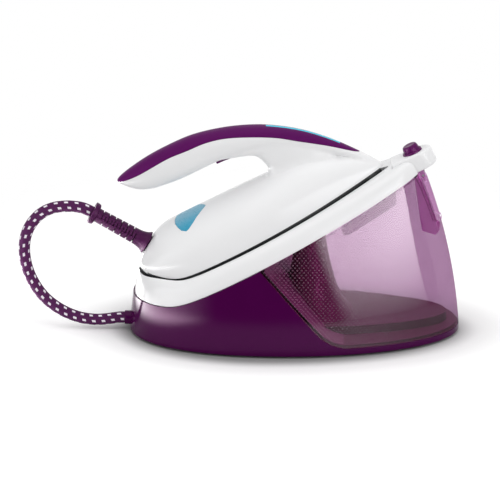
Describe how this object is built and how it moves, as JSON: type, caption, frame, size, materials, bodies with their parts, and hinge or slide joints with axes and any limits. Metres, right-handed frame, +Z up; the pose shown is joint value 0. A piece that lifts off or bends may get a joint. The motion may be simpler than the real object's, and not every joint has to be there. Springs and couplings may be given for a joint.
{
  "type": "steam generator iron",
  "caption": "Steam generator iron: purple base with a clear tinted water tank and a tilted platform, and a corded iron with an open arched handle resting on it.",
  "frame": {"origin": "on the floor under the middle of the object's length and width, hose left out", "axes": "+X towards the tank's front, +Y towards the far side, which holds the power button, +Z up"},
  "size_m": [0.4794, 0.1894, 0.229],
  "materials": {
    "plum_plastic": "gloss moulded",
    "white_plastic": "gloss moulded",
    "clear_tinted": "clear tinted moulding",
    "purple_plastic": "gloss moulded",
    "purple_grip": "soft touch",
    "teal_plastic": "gloss moulded",
    "cyan_lens": "lens",
    "grey_plastic": "moulded",
    "dark_plastic": "moulded",
    "pale_plastic": "moulded",
    "black_rubber": "moulded",
    "screw_steel": "plain",
    "spring_steel": "wire",
    "sole_steel": "polished",
    "element_steel": "sheathed",
    "cast_aluminium": "as cast",
    "copper_coil": "enamelled winding",
    "board_green": "laminate",
    "braided_fabric": "woven braid"
  },
  "bodies": {
    "base": {"base_housing": "plum_plastic", "base_plate": "plum_plastic", "rubber_feet": "black_rubber", "base_screws": "screw_steel", "platform_tray": "white_plastic", "rest_pads": "black_rubber", "lock_tower": "white_plastic", "lock_collar": "purple_plastic", "lock_plate": "white_plastic", "lock_spring": "spring_steel", "center_pillar": "plum_plastic", "water_tank": "clear_tinted", "tank_valve": "dark_plastic", "door_pin": "screw_steel", "pump_body": "pale_plastic", "pump_coil": "copper_coil", "pump_mounts": "black_rubber", "suction_tube": "pale_plastic", "delivery_tube": "pale_plastic", "control_board": "board_green", "board_parts": "dark_plastic", "hose_gland": "dark_plastic", "mains_gland": "dark_plastic", "power_switch": "dark_plastic", "steam_hose": "braided_fabric"},
    "iron": {"soleplate": "sole_steel", "steam_chamber": "cast_aluminium", "chamber_cover": "cast_aluminium", "cover_screws": "screw_steel", "heating_element": "element_steel", "thermostat": "pale_plastic", "heat_shield": "dark_plastic", "iron_shell": "white_plastic", "handle_grip": "purple_grip", "indicator_strip": "cyan_lens", "trigger_pin": "screw_steel", "trigger_spring": "spring_steel", "trigger_switch": "dark_plastic", "handle_carrier": "dark_plastic", "descale_switch": "dark_plastic", "iron_board": "board_green", "board_posts": "pale_plastic", "water_tube": "pale_plastic", "strain_relief": "purple_plastic"},
    "lock_button": {"lock_button": "purple_plastic"},
    "lock_hook": {"lock_hook": "grey_plastic"},
    "filler_door": {"filler_door": "clear_tinted"},
    "steam_trigger": {"steam_trigger": "purple_plastic"},
    "descale_button": {"descale_button": "teal_plastic"},
    "power_button": {"power_button": "white_plastic"}
  },
  "joints": [
    {"name": "iron_lift", "type": "slide", "parent": "base", "child": "iron", "axis": [-0.454, 0, 0.891], "range_m": [0, 0.1], "deforming": ["steam_hose"]},
    {"name": "lock_button_press", "type": "slide", "parent": "base", "child": "lock_button", "axis": [0.454, 0, -0.891], "range_m": [0, 0.004], "stiffness_N_per_m": 400, "springref_m": -0.002, "deforming": ["lock_spring"]},
    {"name": "lock_hook_slide", "type": "slide", "parent": "base", "child": "lock_hook", "axis": [-0.891, 0, -0.454], "range_m": [0, 0.008]},
    {"name": "filler_door_swing", "type": "hinge", "parent": "base", "child": "filler_door", "pos_m": [0.1426, 0, 0.1775], "axis": [0, -1, 0], "range_deg": [0, 70]},
    {"name": "steam_trigger_pull", "type": "hinge", "parent": "iron", "child": "steam_trigger", "pos_m": [-0.05442, 0, 0.203], "axis": [0, 1, 0], "range_deg": [0, 6], "stiffness_Nm_per_rad": 0.3, "springref_deg": -2.86, "deforming": ["trigger_spring"]},
    {"name": "descale_button_press", "type": "slide", "parent": "iron", "child": "descale_button", "axis": [0.454, 0, -0.891], "range_m": [0, 0.0015], "stiffness_N_per_m": 800, "springref_m": -0.001},
    {"name": "power_button_press", "type": "slide", "parent": "base", "child": "power_button", "axis": [0, -1, 0], "range_m": [0, 0.0025], "stiffness_N_per_m": 600, "springref_m": -0.001}
  ],
  "couplings": [
    {"joint": "lock_hook_slide", "follows": "lock_button_press", "ratio": 2}
  ]
}
